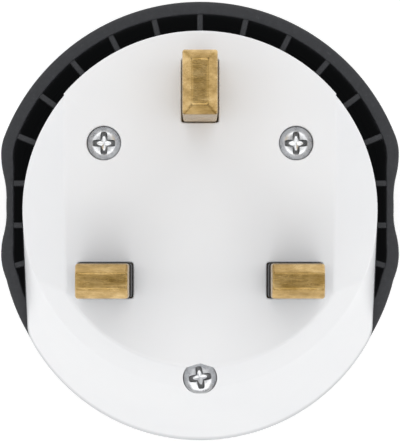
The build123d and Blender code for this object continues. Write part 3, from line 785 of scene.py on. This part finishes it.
def makePin(name):
    # Half sizes (hx, hy) along z: foot behind the face, neck under the sleeve, blade, bevelled tip
    pin, form = pins[name], pinForm
    hx, hy = pin["size"] / 2
    shoulder, foot = pin["tip"] - form["tipHeight"], form["footTop"]
    bevelX, bevelY = pin["bevels"]
    footX, footY = pin["size"] / 2 + form["footMargins"]
    rows = [((footX, footY, form["footBottom"]), 0), ((footX, footY, foot), 0.15)]
    if name == "earth":
        rows.append(((hx, hy, foot), 0.05))
    else:
        neckX, neckY = pin["size"] / 2 - form["sleeveWall"] + form["sleevePlay"]
        hx -= form["slimmer"]
        rows += [((neckX, neckY, foot), 0.05), ((neckX, neckY, form["neckTop"]), 0)]
        rows += [((hx, hy, form["neckTop"]), 0.06)]
    rows += [((hx, hy, shoulder), form["edge"]), ((hx - bevelX, hy - bevelY, pin["tip"]), form["tipEdge"]),
             ((form["tipRing"] * hx, form["tipRing"] * hy, pin["tip"]), 0)]
    levels = roundedProfile([np.array(row[0]) for row in rows], [row[1] for row in rows], 3)
    piece = surfacePiece(name + "Pin", *sweptRectangle(pin["centre"], levels, form["corner"]), 24)
    facingOut(piece)
    finishPiece(piece, "pin_brass", name + "_pin")


def makeSleeve(name):
    # Tube with rounded corners, closed on itself from its inner ring round to its inner ring
    pin, form = pins[name], pinForm
    hx, hy = pin["size"] / 2
    low, high = form["innerFace"], form["neckTop"] - form["sleevePlay"]
    innerX, innerY = pin["size"] / 2 - form["sleeveWall"]
    innerSoft, outerSoft = form["corner"] / 2, form["corner"]
    corners = [(innerX, innerY, low, innerSoft), (hx, hy, low, outerSoft),
               (hx, hy, high, outerSoft), (innerX, innerY, high, innerSoft)]
    rings = [rectangleRing(x, y, soft) for x, y, z, soft in corners]
    count = len(rings[0])
    points = np.vstack([np.column_stack((ring + pin["centre"], np.full(count, corner[2])))
                        for ring, corner in zip(rings, corners)])
    j = np.arange(count)
    n = (j + 1) % count
    faces = ringFaces(4, count) + np.column_stack((3 * count + j, 3 * count + n, n, j)).tolist()
    piece = surfacePiece(name + "PinSleeve", points, faces)
    facingOut(piece)
    finishPiece(piece, "sleeve_plastic", name + "_pin_sleeve")


for name in pins:
    makePin(name)
for name in ("live", "neutral"):
    makeSleeve(name)
print("scene: pins made")

screwForm = {
    "shank": 1.2, "dome": 0.5, "domePower": 4, "crownRows": 14, "headColumns": 72,
    "crossColumns": 144, "crossBottom": 0.90,
    "starDepth": 0.702, "armMargin": 0.04, "armReach": 1.45, "armShade": 0.25,
}
# Depth, half length, half width and corner power of the cross recess, from above the head
crossLevels = (
    (-0.5, 1.42, 0.46, 7), (-0.02, 1.40, 0.44, 7), (0.06, 1.36, 0.41, 7), (0.66, 1.27, 0.35, 7),
    (0.70, 1.20, 0.31, 7), (0.70, 0.86, 0.40, 1.6), (0.705, 0.84, 0.39, 1.6), (0.86, 0.32, 0.15, 1.6),
)


def crossRadius(theta, length, width, n, turn):
    # Four arms: r = (L^-n + (w / |sin p|)^-n)^(-1/n), where p is the angle to the nearest arm
    quarter, leastSine = math.pi / 2, 1e-4
    p = (theta - turn + quarter / 2) % quarter - quarter / 2
    sideLimit = width / np.maximum(np.abs(np.sin(p)), leastSine)
    return (length**-n + sideLimit**-n) ** (-1 / n)


def makeScrew(node):
    # Head: z = top - dome * (r / R)^n, with a plain side below it
    screw, form = screws[node], screwForm
    seat, bottom, radius, shank = screw["seat"], screw["bottom"], screwHead["radius"], form["shank"]
    top = seat + screwHead["height"]
    u = np.linspace(0, 1, form["crownRows"])
    crown = [(float(v * radius), float(top - form["dome"] * v**form["domePower"])) for v in u]
    profile = [(0, bottom), (shank, bottom), (shank, seat), (radius, seat), *crown[::-1]]
    pieceName = node.replace("case_screw_", "") + "Screw"
    piece = surfacePiece(pieceName, *roundColumn(screw["centre"], profile, form["headColumns"]))
    facingOut(piece)
    theta = np.linspace(0, 2 * math.pi, form["crossColumns"], endpoint=False)
    turn = math.radians(screw["turn"])
    rows = [np.array([crossRadius(theta, length, width, power, turn), np.full_like(theta, top - depth)])
            for depth, length, width, power in crossLevels]
    upperPole = rows[0] * np.array([[0], [1]])
    lowerPole = np.array([0 * theta, np.full_like(theta, top - form["crossBottom"])])
    points, faces = closedTurn([upperPole, *rows, lowerPole], theta)
    points[:, :2] += screw["centre"]
    cutFrom(piece, [surfacePiece("cut_cross", points, faces)], 28)
    # Painted shade: the arms of the recess are darkened, and the star at their middle keeps the full,
    # brighter colour
    place = np.empty(3 * len(piece.data.vertices))
    piece.data.vertices.foreach_get("co", place)
    place = place.reshape(-1, 3) / mm
    depth, reach = top - place[:, 2], np.hypot(*(place[:, :2] - screw["centre"]).T)
    crownDepth = form["dome"] * (reach / radius) ** form["domePower"]
    belowCrown = depth > crownDepth + form["armMargin"]
    inArms = belowCrown & (depth < form["starDepth"]) & (reach < form["armReach"])
    shade = piece.data.attributes.new("shade", "FLOAT", "POINT")
    shade.data.foreach_set("value", np.where(inArms, form["armShade"], 1.0))
    finishPiece(piece, "screw_steel", node)


for node in screws:
    makeScrew(node)
print("scene: screws made")

# The parts inside keep their CAD meshes
innerSlots = {
    "contact_carrier": "carrier_plastic", "live_contact": "contact_brass",
    "neutral_contact": "contact_brass", "earth_spring": "contact_brass",
    "earth_link": "contact_brass", "fuse_tube": "fuse_ceramic",
    "fuse_cap_supply": "fuse_cap_metal", "fuse_cap_load": "fuse_cap_metal",
    "fuse_clip_supply": "contact_brass", "fuse_clip_load": "contact_brass",
}
for node, slot in innerSlots.items():
    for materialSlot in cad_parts[node].material_slots:
        materialSlot.material = materials[slot]
print("scene: inner parts dressed")

# The studio's places and sizes are in metres
studio = {"floorReach": 1.2, "floorLevel": -0.0001, "floorGlow": 0.4, "sky": 0.40, "aim": (0, -0.004, 0.04)}
lights = {
    "keyLight": {"place": (0.0, -0.42, 0.56), "size": (0.9, 0.5), "power": 1.9},
    "leftLight": {"place": (-0.48, -0.02, 0.50), "size": (0.5, 0.9), "power": 1.05},
    "rightLight": {"place": (0.48, -0.02, 0.50), "size": (0.5, 0.9), "power": 1.05},
    "backLight": {"place": (0.0, 0.46, 0.50), "size": (0.9, 0.5), "power": 1.85},
}


def makeFloor():
    reach, level = studio["floorReach"], studio["floorLevel"]
    corners = [(x * reach, y * reach, level) for x, y in ((-1, -1), (1, -1), (1, 1), (-1, 1))]
    mesh = bpy.data.meshes.new("floor")
    mesh.from_pydata(corners, [], [(0, 1, 2, 3)])
    floor = bpy.data.objects.new("floor", mesh)
    bpy.context.collection.objects.link(floor)
    material, tree, shader = newMaterial("paleFloor", (0.9, 0.9, 0.9), 0.9)
    shader.inputs["Emission Color"].default_value = (1, 1, 1, 1)
    shader.inputs["Emission Strength"].default_value = studio["floorGlow"]
    mesh.materials.append(material)


def makeLight(name, form):
    # Rectangular light turned to the adapter
    softbox = bpy.data.lights.new(name, "AREA")
    softbox.shape = "RECTANGLE"
    softbox.size, softbox.size_y = form["size"]
    softbox.energy = form["power"]
    lamp = bpy.data.objects.new(name, softbox)
    lamp.location = form["place"]
    towards = Vector(studio["aim"]) - Vector(form["place"])
    lamp.rotation_euler = towards.to_track_quat("-Z", "Y").to_euler()
    bpy.context.collection.objects.link(lamp)


def makeWorld():
    world = bpy.data.worlds.new("studio")
    world.use_nodes = True
    background = world.node_tree.nodes["Background"]
    background.inputs["Color"].default_value = (1, 1, 1, 1)
    background.inputs["Strength"].default_value = studio["sky"]
    bpy.context.scene.world = world


cameraForm = {"sensor": 36, "lens": 299.6, "shiftY": 0.085, "place": (0, -0.00568, 0.472)}


def makeCamera():
    # Straight above the adapter; the shift puts the axis a little under the picture's middle
    lens = bpy.data.cameras.new("camera")
    lens.sensor_width = cameraForm["sensor"]
    lens.lens = cameraForm["lens"]
    lens.shift_y = cameraForm["shiftY"]
    lens.clip_start, lens.clip_end = 0.01, 20
    camera = bpy.data.objects.new("camera", lens)
    camera.location = cameraForm["place"]
    bpy.context.collection.objects.link(camera)
    bpy.context.scene.camera = camera


makeFloor()
for name, light in lights.items():
    makeLight(name, light)
makeWorld()
makeCamera()
bpy.context.scene.view_settings.view_transform = "Standard"
print("scene: floor, light and camera made")
